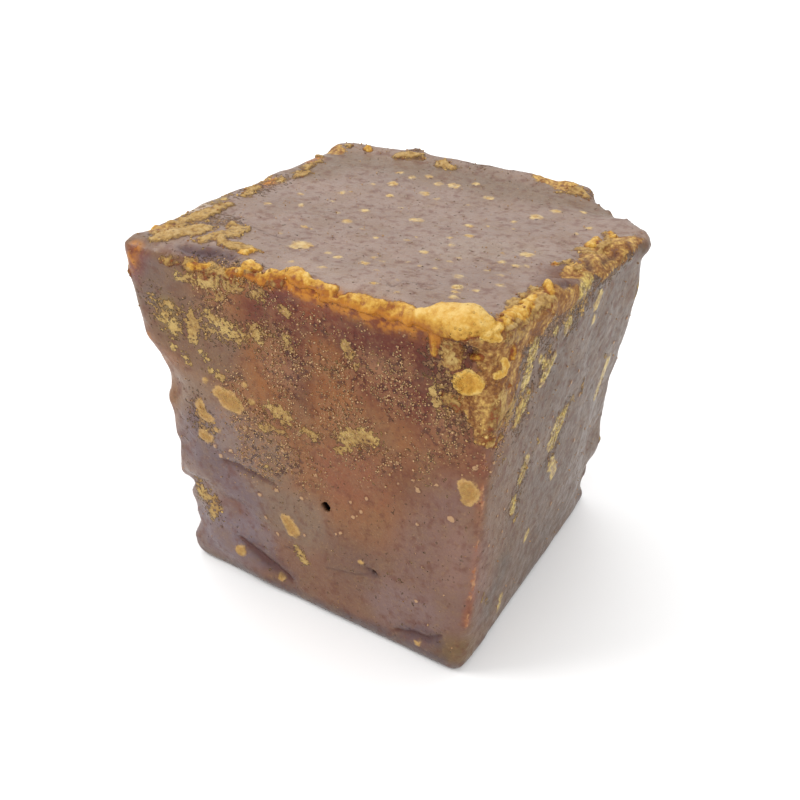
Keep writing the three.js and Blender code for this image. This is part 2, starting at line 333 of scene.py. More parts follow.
# Ragged lumps of crust on the top's front left corner, along the left and right rims and beside the pad.
RAGGED_SEEN = [
    [(160, 238, 2.6), (172, 233, 4.2), (190, 232, 4.6), (202, 229, 3)],
    [(206, 238, 2.4), (222, 235, 3.4), (238, 231, 2.6)],
    [(222, 241, 1.8), (238, 246, 2.6), (254, 251, 1.4)],
    [(180, 224, 2.6), (196, 216, 2.8), (210, 211, 2.2), (226, 205, 1.4)],
    [(160, 262, 0.8), (176, 264, 1.4), (194, 268, 1.8), (214, 272, 1.6), (232, 274, 1.4)],
    [(244, 274, 1.2), (262, 277, 1.4), (280, 280, 1.2)],
    [(514, 303, 1.2), (524, 297, 1.3), (534, 290, 1.2)], [(542, 302, 1.6), (550, 300, 1.4)],
    [(508, 328, 1.4), (520, 322, 1.6), (530, 316, 1.2)],
    [(396, 157, 1.2), (410, 155, 1.8), (424, 158, 1.2)],
    [(560, 193, 1), (572, 193, 1.6), (580, 190, 1.8), (588, 197, 1.4)], [(236, 226, 1.8)],
    [(243, 196, 1.2), (258, 188, 1.8)], [(281, 180, 1.2)], [(302, 171, 1.1), (318, 162, 1.5)],
    [(349, 146, 1.4)], [(440, 162, 0.9), (456, 165, 0.9)], [(450, 400, 1.6), (458, 406, 1.6)],
    [(486, 444, 1.2), (500, 438, 1.2)], [(500, 402, 1), (496, 416, 1.4), (491, 430, 0.9)],
    [(534, 305, 2.4), (540, 300, 2)], [(507, 317, 1.6), (514, 308, 1.4)],
    [(559, 264, 1), (568, 262, 1.1)], [(576, 268, 1)], [(582, 250, 2.2), (590, 254, 2)],
    [(600, 252, 1.2), (606, 243, 1.3), (609, 234, 1)],
]

# The plate and the curls of clean gold that stand out of the corner below the pad.
PLATES_SEEN = [
    [(463, 384, 2.6), (470, 382, 2.9), (473, 383, 2.6)], [(456, 376, 0.7)],
    [(483, 338, 0.9), (492, 337, 1.4), (499, 339, 0.8)],
    [(497, 376, 1), (503, 372, 1.2), (506, 366, 1), (503, 361, 0.8)],
]

# Thin olive-golden patches, mostly on the upper left of the front.
PATCHES_SEEN = [
    [(170, 305, 1.6)], [(161, 316, 1.3), (164, 322, 0.8)], [(173, 326, 1.8), (176, 331, 1)],
    [(155, 300, 0.8)], [(191, 316, 1.5), (194, 326, 2.1), (192, 337, 1.4)],
    [(207, 314, 1.2), (218, 322, 1.5), (228, 328, 1.7)], [(232, 331, 1.2), (240, 339, 1.4)],
    [(218, 300, 0.9), (225, 294, 0.7)], [(254, 328, 1.2), (256, 334, 1.8), (260, 342, 1)],
    [(283, 310, 1.1), (287, 314, 0.8)], [(286, 338, 0.9), (289, 345, 1.2), (292, 351, 0.7)],
    [(346, 346, 1), (351, 356, 1.2), (357, 368, 0.8)],
    [(268, 406, 1), (278, 412, 1.7), (288, 420, 1.3)],
    [(262, 426, 1), (272, 430, 1.2), (284, 432, 0.9)], [(304, 430, 1.1), (314, 436, 1.3)],
    [(343, 439, 1.4), (356, 437, 2.5), (372, 438, 1.8)], [(338, 452, 1), (350, 449, 0.8)],
    [(213, 372, 0.9), (222, 377, 1)], [(173, 346, 1)], [(185, 356, 0.9), (189, 363, 0.6)],
    [(201, 352, 1), (208, 360, 0.8)], [(433, 392, 1), (437, 403, 1.2)],
    [(213, 497, 1.3), (216, 508, 1.7), (213, 518, 1)], [(201, 486, 1.5), (203, 497, 1.2)],
    [(298, 551, 1.6), (306, 562, 1.2)], [(178, 276, 1), (190, 279, 1.3)],
    [(201, 281, 1.2), (214, 284, 1.6)], [(226, 286, 1.2), (238, 288, 1.4)],
    [(250, 293, 1), (262, 296, 0.9)], [(508, 326, 1.4), (520, 318, 1.8), (532, 310, 1.8)],
    [(542, 300, 1.8), (552, 296, 1.4)], [(510, 338, 1.2), (524, 332, 1.4)],
    [(502, 398, 2), (500, 414, 2.2), (494, 428, 1.8)], [(445, 350, 1.3), (450, 362, 1.5)],
    [(513, 402, 1.4), (508, 420, 1.6)], [(522, 402, 1.6), (517, 420, 1.6)],
    [(212, 203, 1.2), (224, 198, 1)], [(266, 467, 0.9)],
]

# Flat ovals of golden sugar, a little raised.
DISCS_SEEN = [
    [(219, 392, 2), (228, 399, 3), (237, 406, 2.2)],
    [(200, 404, 1.6), (203, 413, 1.8), (212, 420, 1.2)], [(204, 436, 1.9), (209, 438, 1.7)],
    [(217, 430, 1)], [(251, 402, 0.9)], [(205, 380, 0.8)], [(244, 385, 0.8)],
    [(287, 520, 1.9), (294, 531, 2.1)], [(241, 550, 1.8)],
    [(466, 487, 2.2), (470, 494, 2.4), (468, 500, 1.6)], [(361, 562, 0.9)], [(417, 643, 0.9)],
    [(281, 577, 1.2)],
]

# Air holes.
HOLES_SEEN = dots([(325, 506, 0.9), (327, 508, 0.95), (373, 573, 0.7), (236, 261, 0.6)])

# Single pale crystals that sit in the smooth skin.
SPECKS_SEEN = dots([
    (277, 490, 0.5), (260, 494, 0.6), (302, 498, 0.55), (283, 450, 0.5), (316, 475, 0.45), (278, 534, 0.5),
    (221, 456, 0.6), (266, 517, 0.5), (367, 498, 0.5), (351, 502, 0.45), (361, 511, 0.5), (341, 533, 0.45),
    (398, 483, 0.4), (413, 480, 0.5), (418, 490, 0.7), (451, 519, 0.8), (417, 524, 0.5), (437, 485, 0.4),
    (475, 468, 0.6), (416, 601, 0.45), (398, 463, 0.4), (336, 534, 0.4), (353, 517, 0.5), (423, 567, 0.3),
    (246, 428, 0.6), (300, 433, 0.5), (322, 455, 0.4), (231, 451, 0.6), (215, 446, 0.5), (305, 535, 0.4),
])

# Spots of the top.
TOP_SPOTS_SEEN = dots([
    (281, 181, 1.3), (268, 204, 1), (301, 194, 0.9), (301, 205, 0.9), (302, 245, 2.6), (294, 247, 1.4),
    (304, 227, 0.8), (312, 229, 0.6), (347, 222, 1.3), (338, 213, 0.6), (333, 201, 0.6), (338, 257, 1.1),
    (328, 253, 0.8), (342, 193, 1), (351, 192, 0.6), (281, 234, 0.6), (372, 184, 0.9), (393, 184, 1.5),
    (400, 173, 1.2), (412, 178, 1.3), (429, 177, 1.4), (439, 184, 1.2), (454, 186, 1.8), (476, 184, 1.1),
    (390, 196, 1.1), (425, 194, 1.5), (437, 199, 1), (488, 198, 1.5), (364, 211, 1.1), (417, 220, 1.8),
    (468, 226, 1.2), (469, 236, 1.3), (450, 238, 0.9), (452, 245, 0.8), (423, 252, 1.2), (376, 238, 0.6),
    (407, 240, 0.6), (416, 237, 0.5), (527, 255, 1.9), (503, 262, 0.9), (515, 266, 1), (526, 266, 0.8),
    (557, 264, 1.1), (514, 221, 0.8), (536, 217, 1.8), (556, 212, 1.4), (584, 212, 1), (514, 229, 0.7),
    (500, 275, 0.7), (500, 285, 0.8), (365, 263, 1.2), (373, 283, 0.9), (459, 277, 1.3), (458, 287, 1.4),
    (455, 292, 1), (453, 297, 0.9), (435, 269, 0.6), (488, 226, 0.5), (397, 292, 0.6), (503, 253, 0.6),
    (437, 260, 0.5), (449, 262, 0.6), (458, 259, 0.5), (382, 261, 0.5), (374, 257, 0.6), (364, 229, 0.5),
    (589, 228, 1), (576, 234, 0.7), (292, 262, 0.7), (322, 267, 0.9), (468, 205, 0.6), (402, 208, 0.5),
    (398, 280, 0.6), (377, 271, 0.5), (407, 262, 0.5), (420, 266, 0.5), (487, 270, 0.6), (476, 290, 0.7),
])

# Vertical streaks and spots of the right face, which the camera sees edge on.
STREAKS_SEEN = [
    [(589, 276, 1.4), (588, 286, 1.2)],
    [(564, 412, 2.2), (559, 422, 3.6), (553, 438, 3.2), (552, 446, 1.6)],
    [(551, 462, 2), (553, 474, 1.6)], [(527, 396, 1.6), (522, 408, 2.2), (516, 424, 1.4)],
    [(529, 371, 1.8), (525, 383, 1.8)], [(554, 357, 1.4), (548, 366, 1.8), (543, 380, 1.6)],
    [(541, 358, 0.9), (546, 366, 1)], [(535, 346, 2), (531, 360, 2)],
    [(607, 362, 2), (603, 373, 2)], [(601, 380, 2.6), (597, 392, 2.8)],
    [(586, 280, 1.8), (583, 292, 2)], [(600, 295, 1.6), (597, 304, 1.8)], [(593, 320, 1.4)],
    [(570, 318, 1.4), (567, 328, 1.4)], [(556, 332, 1.2)], [(527, 460, 1.6), (521, 478, 1.8)],
    [(514, 500, 1.8), (513, 510, 1.6)], [(500, 598, 1.4), (498, 608, 1.2)], [(526, 536, 1.8)],
]

# Ledges and the trough behind the lip: soft hollows, dark with shade.
LEDGES_SEEN = [
    [(180, 246, 0.3), (192, 250, 0.8), (206, 252, 0.9), (220, 252, 0.7), (231, 257, 0.3)],
    [(222, 461, 0.1), (240, 468, 0.7), (256, 477, 0.7), (272, 484, 0.1)],
    [(240, 538, 0.3), (252, 549, 1), (264, 560, 1.4), (276, 569, 1.3), (290, 580, 0.6)],
    [(366, 570, 0.5), (374, 576, 0.6)],
    [(395, 631, 0.2), (412, 634, 0.6), (428, 640, 0.7), (440, 637, 0.3)],
    [(462, 347, 0.3), (468, 350, 0.8), (474, 350, 0.4)],
    [(574, 254, 0.1), (584, 256, 0.6), (590, 266, 0.9)], [(562, 284, 0.5), (572, 284, 0.5)],
    [(604, 262, 0.5), (616, 254, 0.5)],
]

# Creases, thin and shallow, dark with painted shade.
CREASES_SEEN = [
    [(326, 568, 0.1), (340, 571, 0.2), (356, 575, 0.2), (368, 575, 0.2)],
    [(517, 383, 0.1), (515, 400, 0.3), (508, 413, 0.4), (500, 424, 0.3), (489, 431, 0.1)],
    [(386, 281, 0.1), (392, 286, 0.2), (398, 284, 0.1), (404, 281, 0.1), (420, 283, 0.1), (440, 285, 0)],
    [(419, 286, 0.1), (427, 289, 0.2), (438, 287, 0.1)],
    [(241, 222, 0), (256, 228, 0.15), (270, 234, 0.1), (283, 238, 0.2), (288, 237, 0.1)],
    [(284, 547, 0.1), (292, 549, 0.2), (300, 546, 0.1)],
]

# Amber, where light comes through the thin edge below the lip and through the upright edges.
AMBER_GLOW_SEEN = [
    [(232, 277, 1), (250, 277, 1.6), (270, 281, 1.2)],
    [(284, 280, 1.6), (297, 286, 2.4), (315, 294, 2), (335, 302, 2), (360, 311, 2.2), (385, 318, 2.6)],
    [(385, 318, 2.2), (405, 323, 2.2), (425, 332, 1.8), (440, 340, 1)],
    [(135, 247, 0.9), (129, 264, 1.2)], [(148, 335, 0.2)],
]

# The thin bright line down the upright corner edge: rust-red, with tan bits that are a painted highlight.
EDGE_LINE_SEEN = [
    [(484, 455, 0.7), (483, 470, 0.3)], [(482, 484, 0.5), (481, 500, 0.7), (480, 514, 0.3)],
    [(478, 532, 0.2), (476, 550, 0.4)], [(474, 570, 0.5), (472, 588, 0.8), (470, 600, 0.4)],
    [(468, 614, 0.3), (466, 626, 0.6)],
]

# Where the skin is gilded in upright streaks: the corner below the pad and the side of the right rim.
GILDED_SEEN = [
    [(478, 392, 4), (484, 402, 5), (488, 432, 2.5)], [(450, 348, 1.5), (452, 362, 1.5)],
    [(512, 340, 3), (530, 328, 3), (548, 314, 3)], [(564, 306, 2), (576, 297, 2)],
    [(498, 348, 5), (508, 368, 5), (508, 395, 4), (500, 418, 3)],
    [(516, 330, 4), (530, 322, 5), (545, 312, 5)], [(548, 300, 4), (556, 294, 2.5)], [(578, 272, 3)],
    [(596, 260, 4), (608, 250, 3.2), (630, 238, 2.4)],
]

# Mealy golden bloom, thin and broken.
MEALY_SEEN = [
    [(165, 236, 2), (190, 222, 3), (225, 222, 3)], [(255, 192, 1), (285, 180, 1)],
    [(150, 300, 2), (172, 318, 3), (200, 325, 3), (240, 335, 3), (262, 335, 2)],
    [(200, 270, 3), (230, 275, 3), (255, 285, 3)], [(440, 360, 3), (450, 395, 4), (470, 420, 4)],
    [(540, 332, 3), (575, 312, 3), (600, 280, 3), (625, 255, 2)], [(527, 345, 3), (528, 370, 2)],
    [(195, 395, 1), (203, 420, 2), (210, 440, 1)], [(524, 398, 3), (518, 424, 2)],
    [(562, 415, 3), (552, 446, 3)], [(548, 362, 3)], [(524, 472, 2), (514, 505, 2)], [(600, 385, 2)],
    [(203, 488, 2), (213, 508, 2)], [(265, 412, 1), (285, 422, 1)], [(345, 438, 2), (370, 440, 2)],
]

# Washes of colour over the skin: colour, strength, reach and strokes. Most are the sugar's own colour;
# some are painted shade and some a painted sheen, as marked below.
WASHES_SHADE_AND_SHEEN_SEEN = [
    ("644a38", 0.9, 5, [(150, 268, 9), (160, 305, 9), (190, 330, 9), (215, 345, 8)]),
    ("571f06", 1, 5, [(265, 303, 6), (300, 318, 8), (345, 325, 9), (395, 340, 9), (440, 352, 7)]),
    ("55220b", 0.95, 6, [(330, 345, 8), (380, 360, 9), (430, 390, 9)], [(270, 330, 5), (310, 380, 6)]),
    ("451808", 0.85, 4, [(352, 342, 4), (366, 347, 4)], [(395, 362, 5), (425, 382, 5)],
     [(300, 375, 3), (312, 400, 3)]),
    ("7f4c1f", 0.7, 5, [(262, 352, 4), (262, 388, 5)], [(328, 360, 4), (328, 400, 5)]),
    ("74412a", 0.7, 5, [(340, 475, 6), (362, 482, 6)]),
    ("663a22", 0.8, 5, [(440, 440, 5), (452, 470, 6)], [(405, 478, 5), (432, 492, 6)]),
    # Painted sheen, here and in the next two: the purple-grey of smooth, slick skin on the lower left.
    ("6e5b4c", 0.8, 5, [(195, 400, 7), (205, 440, 9)], [(240, 440, 8), (262, 462, 8)],
     [(255, 500, 7), (300, 520, 7)]),
    ("5d4b4e", 0.9, 5, [(203, 425, 4), (192, 452, 5)], [(220, 472, 7), (232, 495, 8), (240, 515, 6)]),
    ("735f58", 0.9, 4, [(198, 478, 5), (206, 500, 6)]),
    # Painted shade, grey: the broad foot at the left, where it faces down.
    ("68595c", 0.9, 5, [(205, 530, 6), (250, 540, 7)]),
    ("4a3c30", 0.8, 5, [(500, 575, 4), (488, 605, 4)]),
    ("6a5048", 0.8, 9, [(440, 540, 8), (430, 590, 12), (400, 600, 9)], [(452, 510, 4), (455, 560, 6)]),
    ("5c4a46", 0.8, 4, [(146, 270, 4), (150, 292, 3)]),
    ("63302a", 0.8, 2.5, [(136, 250, 3), (132, 270, 2)]),
    ("7e4f26", 0.8, 2.5, [(192, 274, 1.5), (208, 280, 2)], [(216, 284, 1.5), (250, 286, 2.5)]),
    ("74602f", 0.6, 2.5, [(166, 304, 1.5), (168, 316, 2), (172, 328, 1.5)]),
    # Painted shade under the knob of the lip.
    ("541d0a", 0.8, 3, [(284, 296, 2.5), (302, 304, 2)]),
    ("7d3d12", 0.7, 3, [(310, 306, 2), (335, 318, 2.5)]),
    ("7f4428", 0.7, 1.4, [(484, 462, 0.8), (480, 500, 0.5), (477, 545, 0.5), (473, 590, 0.8),
     (466, 625, 0.6)]),
    ("6a3a28", 0.6, 2.5, [(480, 445, 3), (478, 475, 2)]),
    ("967250", 0.8, 4, [(512, 332, 3), (540, 314, 4), (572, 298, 3)]),
    ("8a5c40", 0.7, 3, [(370, 362, 1), (380, 372, 1.5), (388, 382, 1)]),
    ("855a40", 0.6, 3, [(441, 418, 2), (450, 426, 2)], [(274, 366, 3), (284, 376, 3)]),
    ("551c0a", 0.8, 4, [(335, 322, 3), (365, 330, 4), (400, 342, 4)], [(405, 388, 4), (425, 400, 4)]),
    ("76594e", 0.6, 5, [(470, 540, 3), (466, 580, 4)]),
    ("6e5854", 0.6, 5, [(390, 605, 5), (420, 615, 5)]),
    # Painted sheen: the same purple-grey of slick skin.
    ("6f5f5c", 0.6, 5, [(226, 436, 5), (238, 450, 5)]),
    ("5c443a", 0.6, 5, [(340, 558, 5), (362, 566, 5)]),
    ("5f4a2c", 0.8, 4, [(447, 655, 4), (462, 655, 4)]),
    # Painted shade, here and in the next two: dark bands along the bottom edge and the lower ledges.
    ("46383a", 0.8, 2.5, [(240, 566, 1), (290, 590, 1), (345, 616, 1)]),
    ("46383a", 0.8, 2.5, [(345, 616, 1), (380, 632, 1.5), (415, 650, 1.5), (440, 660, 1)]),
    ("4c3a40", 0.8, 3, [(252, 546, 2), (270, 562, 2), (292, 578, 1)], [(405, 632, 1.5), (432, 640, 2)]),
]

# Washes over the top: painted shade on the far side and in the trough behind the lip, and other colours.
TOP_WASHES_AND_SHADE_SEEN = [
    # Painted shade over the far side.
    ("66523f", 0.75, 8, [(310, 172, 4), (350, 158, 5), (430, 172, 6)],
     [(430, 172, 6), (505, 187, 6), (600, 210, 5)]),
    # Painted shade in the trough behind the lip.
    ("4b383c", 0.85, 2.5, [(183, 248, 1.5), (205, 253, 2), (228, 256, 1.5)]),
    ("8d776a", 0.7, 5, [(300, 262, 2), (345, 280, 3), (390, 295, 3)]),
    ("66503f", 0.7, 4, [(136, 236, 3), (152, 240, 3)]),
    ("b09c84", 0.7, 3, [(196, 208, 3)]),
    ("8f7d70", 0.5, 6, [(450, 250, 4), (500, 250, 5), (535, 250, 3)]),
    ("5e4034", 0.9, 3, [(552, 282, 3), (566, 276, 4), (576, 270, 3)]),
]

# The sandy bloom of fine crystals.
SAND_SEEN = [
    [(225, 300, 7), (262, 316, 7), (300, 346, 6), (350, 360, 6)],
    [(350, 360, 6), (390, 378, 8), (430, 395, 10), (460, 430, 8)],
    [(275, 340, 4), (272, 372, 4), (290, 400, 6), (330, 430, 8), (365, 445, 8), (400, 455, 7)],
    [(480, 350, 6), (490, 400, 8), (488, 440, 6)], [(345, 388, 2), (357, 402, 2), (356, 423, 2)],
    [(366, 348, 2), (378, 366, 3), (390, 384, 2)], [(240, 400, 7), (260, 450, 7), (300, 470, 6)],
]


# -------- the sides that the camera doesn't see
HIDDEN_RNG = np.random.default_rng(20)
SIDE_HALF = 46
RIM_CORNERS = np.array([(-52, -53, 91.5), (-51, 46, 92.5), (27, 51, 92), (52, 26, 92)])
RIM_SHARES = (1.0, 0.85, 0.1)

# Crust along the rim: how many pieces on a whole side, their radius and how far they stray.
RIM_CRUST = {
    "crust": (10, 1.3, 1.2),
    "ragged": (30, 2.0, 2.2),
    "gilded": (6, 4.0, 2.0),
    # The amber pieces are a painted glow of light through the thin rim.
    "amber": (8, 2.0, 2.0),
}

# Dots and short strokes: kind, face, how many, radii, and how far they run sideways and down.
HIDDEN_DOTS = [
    ("thin", "left", 34, (0.7, 2.4), (2, 5)),
    ("thin", "back", 28, (0.7, 2.2), (2, 5)),
    ("specks", "left", 30, (0.25, 0.5), (0, 0.3)),
    ("specks", "back", 26, (0.25, 0.5), (0, 0.3)),
    ("discs", "left", 7, (1.2, 3.0), (1, 2)),
    ("discs", "back", 6, (1.2, 2.8), (1, 2)),
    ("mealy", "left", 14, (1, 6), (2, 5)),
    ("mealy", "back", 12, (1, 6), (2, 5)),
    ("sand", "left", 9, (2, 6), (16, 20)),
    ("sand", "back", 8, (2, 6), (16, 20)),
]

# The right face is seen edge on, so its finest flecks are strewn too.
RIGHT_DOTS = [
    ("thin", "right", 16, (0.2, 0.6), (2, 5)),
    ("specks", "right", 26, (0.25, 0.5), (0, 0.3)),
]
HIDDEN_WASHES = 18
HIDDEN_WASH_COLOURS = "644a38 63300f 5c2c14 7f4c1f 74412a 6e5b4c 5f4c46 6a5048 4f3d38".split()
HIDDEN_WASH_STRENGTH = 0.65
HIDDEN_WASH_REACH = 9
HIDDEN_WASH_LENGTH = 14


def random_rim(start, end, count, radius, spread, rng):
    """Pieces of crust strewn along an edge and a little below it, a stroke for each."""
    strokes = []
    for _ in range(count):
        t = rng.uniform(0.04, 0.93)
        length = rng.uniform(0.01, 0.06)
        drift = rng.normal(size=3) * spread * (1, 1, 0.6) - (0, 0, spread * rng.exponential(1.2))
        size = radius * rng.uniform(0.35, 1.4)
        ends = [start + (end - start) * u + drift + rng.normal(size=3) for u in (t, t + length)]
        strokes.append([(on_block(place), size * rng.uniform(0.6, 1.1)) for place in ends])
    return strokes


def on_side(face, across, height):
    """A place on the left, back or right face."""
    beside = {"left": (-OUTSIDE, across), "back": (across, OUTSIDE), "right": (OUTSIDE, across)}
    return on_block((*beside[face], height))


def random_dots(face, count, radii, spread, rng):
    """Dots and short strokes over a face, crowded towards its top."""
    strokes = []
    for _ in range(count):
        across, height = rng.uniform(-SIDE_HALF, SIDE_HALF), HEIGHT * rng.beta(1.8, 1.1)
        shift, drop = rng.normal() * spread[0], rng.uniform(0, spread[1])
        radius = rng.uniform(*radii)
        ends = (on_side(face, across, height), on_side(face, across + shift, height - drop))
        strokes.append(list(zip(ends, (radius, radius * rng.uniform(0.5, 1)))))
    return strokes


def random_washes(face, count, rng):
    """Broad washes of the front's colours over a face."""
    washes = []
    for _ in range(count):
        colour = HIDDEN_WASH_COLOURS[rng.integers(len(HIDDEN_WASH_COLOURS))]
        middle = np.array((rng.uniform(-SIDE_HALF, SIDE_HALF), HEIGHT * rng.uniform(0, 0.9)))
        ends = (on_side(face, *middle), on_side(face, *(rng.normal(size=2) * HIDDEN_WASH_LENGTH + middle)))
        stroke = [(place, rng.uniform(3, 9)) for place in ends]
        washes.append((colour, HIDDEN_WASH_STRENGTH, HIDDEN_WASH_REACH, [stroke]))
    return washes


hidden = defaultdict(list)
for start, end, share in zip(RIM_CORNERS[:-1], RIM_CORNERS[1:], RIM_SHARES):
    for kind, (count, radius, spread) in RIM_CRUST.items():
        hidden[kind] += random_rim(start, end, int(count * share), radius, spread, HIDDEN_RNG)
for kind, *rule in HIDDEN_DOTS:
    hidden[kind] += random_dots(*rule, HIDDEN_RNG)
hidden_washes = [wash for face in ("left", "back") for wash in random_washes(face, HIDDEN_WASHES, HIDDEN_RNG)]
for kind, *rule in RIGHT_DOTS:
    hidden[kind] += random_dots(*rule, HIDDEN_RNG)


# -------- fields
# The features with an edge: strokes, and how far the edge wavers, over what wavelength and from which seed.
FEATURES = {
    "pad": (PAD_SEEN, 0.35, 4.0, 9),
    "crust": (CRUST_SEEN, 0.75, 4.0, 11),
    "ragged": (RAGGED_SEEN, 1.5, 3.4, 23),
    "plates": (PLATES_SEEN, 0.35, 2.4, 29),
    "discs": (DISCS_SEEN, 0.35, 2.6, 41),
    "thin": (PATCHES_SEEN, 0.7, 2.4, 31),
    "streaks": (STREAKS_SEEN, 0.7, 2.4, 33),
    "spots": (TOP_SPOTS_SEEN, 0.5, 1.6, 43),
    "ledges": (LEDGES_SEEN, 0.4, 3.0, 45),
    "creases": (CREASES_SEEN, 0.15, 1.5, 47),
    "edge_line": (EDGE_LINE_SEEN, 0.3, 1.5, 48),
    "specks": (SPECKS_SEEN, 0.3, 0.9, 49),
    "holes": (HOLES_SEEN, 0.1, 1.2, 50),
}
FINE_EDGED = ("crust", "ragged", "plates", "specks", "holes")  # the mesh is refined twice along these

# The soft ones, which fade out: strokes and reach.
SOFT_FEATURES = {
    "gilded": (GILDED_SEEN, 3.0),
    "amber": (AMBER_GLOW_SEEN, 2.0),
    "mealy": (MEALY_SEEN, 5.0),
    "sand": (SAND_SEEN, 7.0),
}


def distances(places):
    """How far each place is outside each kind of feature, in millimetres and negative inside."""
    return {
        name: distance_to(places, strokes_seen(seen) + hidden[name]) + waver * rough(places, wavelength, seed)
        for name, (seen, waver, wavelength, seed) in FEATURES.items()
    }


def nearest_of(near, *names):
    return np.min([near[name] for name in names], axis=0)


coarse = distances(places_of(mesh))
at_edge = np.min([np.abs(coarse[name]) for name in coarse if name not in FINE_EDGED], axis=0) < REFINE_WITHIN
refined(mesh, at_edge | (nearest_of(coarse, *FINE_EDGED) < REFINE_WITHIN))
refined(mesh, np.abs(nearest_of(distances(places_of(mesh)), *FINE_EDGED)) < 2 * REFINE_WITHIN)
edges, places, normals = edges_of(mesh), places_of(mesh), normals_of(mesh)
near = distances(places)


def within(low, high, *names):
    """0 outside the features and 1 within them, eased over a range of depths in millimetres."""
    return smoothstep(-nearest_of(near, *names), low, high)


def soft_field(strokes, reach, seed=0):
    """1 inside the strokes, falling to 0 over a reach outside them, with a wavering edge."""
    waver = 0.3 * reach * rough(places, 1.5 * reach, 80 + seed)
    return 1 - smoothstep(distance_to(places, strokes) + waver, -0.4 * reach, reach)


facing_top = smoothstep(normals[:, 2], 0.6, 0.95)
facing_right = smoothstep(normals[:, 0], 0.5, 0.9)
facing_back = smoothstep(normals[:, 1], 0.5, 0.9)
facing_left = smoothstep(-normals[:, 0], 0.5, 0.9)
lifted = smoothstep(places[:, 2], 0.5, 4)

soft = {
    name: soft_field(strokes_seen(seen) + hidden[name], reach)
    for name, (seen, reach) in SOFT_FEATURES.items()
}
soft["sand"] *= smoothstep(rough(places, 9, 53), -0.9, 0.5)
gilded, mealy, sand = soft["gilded"], soft["mealy"], soft["sand"]

# -------- relief
# Each kind of noise is given its wavelength in millimetres, its seed and, where it isn't 3, its octaves.
crest = CRUST_HEIGHT * np.maximum.reduce([
    within(0, 1.2, "pad") * (0.62 + 0.45 * billow(places, 7.0, 55, 2) + 0.14 * rough(places, 2.4, 56, 2)),
    within(0, 0.9, "crust") * (0.35 + 0.9 * billow(places, 5.0, 51)),
    0.7 * within(0, 0.7, "ragged") * (0.1 + 1.1 * billow(places, 3.6, 54)),
    0.6 * within(-0.1, 0.4, "plates") * (0.8 + 0.5 * waves(places, 2.5, 57)),
])
relief = (
    crest
    + SWELL_HEIGHT * rough(places, 12, 61)
    + RIPPLE_HEIGHT * rough(places, 3.5, 62)
    + DISC_HEIGHT * within(-0.3, 0.4, "discs") * (0.8 + 0.5 * waves(places, 2.0, 59))
    + SPOT_HEIGHT * within(-0.3, 0.3, "thin", "streaks", "spots")
    + MEAL_HEIGHT * mealy * rough(places, 1.8, 58, 2)
    + GILT_HEIGHT * gilded * rough(places, 2.0, 60, 2)
    + SPECK_HEIGHT * within(-0.3, 0.2, "specks")
    + EDGE_LINE_HEIGHT * within(-0.3, 0.3, "edge_line")
    - LEDGE_DEPTH * within(-1.4, 0.9, "ledges")
    - CREASE_DEPTH * within(-0.5, 0.3, "creases")
    - HOLE_DEPTH * within(-0.25, 0.5, "holes")
)
places = places + normals * (relief * lifted)[:, None]
places[:, 2] = np.maximum(places[:, 2], 0)
set_places(mesh, places)

cavity = np.einsum("ij,ij->i", blurred(places, edges, CAVITY_ROUNDS) - places, normals_of(mesh))
cavity = blurred(cavity[:, None], edges, 1)[:, 0]
upward = blurred(normals_of(mesh), edges, 3)[:, 2]


# -------- colours of the skin
def srgb(text):
    """A colour written as six hex digits, in linear light."""
    parts = [int(text[i : i + 2], 16) / 255 for i in (0, 2, 4)]
    return np.array([p / 12.92 if p <= 0.04045 else ((p + 0.055) / 1.055) ** 2.4 for p in parts])


def stained(colours, other, amount):
    """The colours of the vertices, each with its own amount of another mixed in."""
    return colours + (srgb(other) - colours) * np.clip(amount, 0, 1)[:, None]


WARM_BROWN = "764a27"
LOW_BROWN = "6b4b3a"
SIDE_BROWN = "6a4c38"
RIGHT_BROWN = "6a4e38"
RIGHT_FAR_SHADE = "524338"
TOP_SHEEN_GREY = "7f6a5f"
FOOT_SHADE_GREY = "5c4f4c"

depth = places[:, 1] + 10 * rough(places, 18, 73)
tint = np.tile(srgb(WARM_BROWN), (len(places), 1))
tint = stained(tint, LOW_BROWN, smoothstep(40 - places[:, 2], -10, 35))
tint = stained(tint, SIDE_BROWN, np.maximum(facing_left, facing_back) * 0.8)
tint = stained(tint, RIGHT_BROWN, facing_right)
# Painted shade: the right face darker and greyer towards the back.
tint = stained(tint, RIGHT_FAR_SHADE, 0.8 * facing_right * smoothstep(depth, -52, -12))
# The top is greyer: partly its own colour, partly a painted sheen.
tint = stained(tint, TOP_SHEEN_GREY, facing_top)
side_washes_shade_and_sheen = [(*wash[:3], strokes_seen(wash[3:])) for wash in WASHES_SHADE_AND_SHEEN_SEEN] + hidden_washes
top_washes_and_shade = [(*wash[:3], strokes_seen(wash[3:])) for wash in TOP_WASHES_AND_SHADE_SEEN]
for washes, where in ((side_washes_shade_and_sheen, 1 - facing_top), (top_washes_and_shade, smoothstep(normals[:, 2], 0.3, 0.8))):
    for seed, (colour, strength, reach, strokes) in enumerate(washes):
        tint = stained(tint, colour, strength * where * soft_field(strokes, reach, seed))
# Painted shade: darker and greyer along the foot.
tint = stained(tint, FOOT_SHADE_GREY, 1 - smoothstep(places[:, 2], 1.5, 4.5))
tint = tint * (1 + 0.10 * rough(places, 16, 71))[:, None]


def store(mesh, name, values):
    """Keeps a value, or a colour, for each vertex."""
    if values.ndim == 2:
        values = np.column_stack((values, np.ones(len(values))))
        attribute = mesh.attributes.new(name, "FLOAT_COLOR", "POINT")
        attribute.data.foreach_set("color", values.astype(np.float32).ravel())
    else:
        attribute = mesh.attributes.new(name, "FLOAT", "POINT")
        attribute.data.foreach_set("value", values.astype(np.float32))


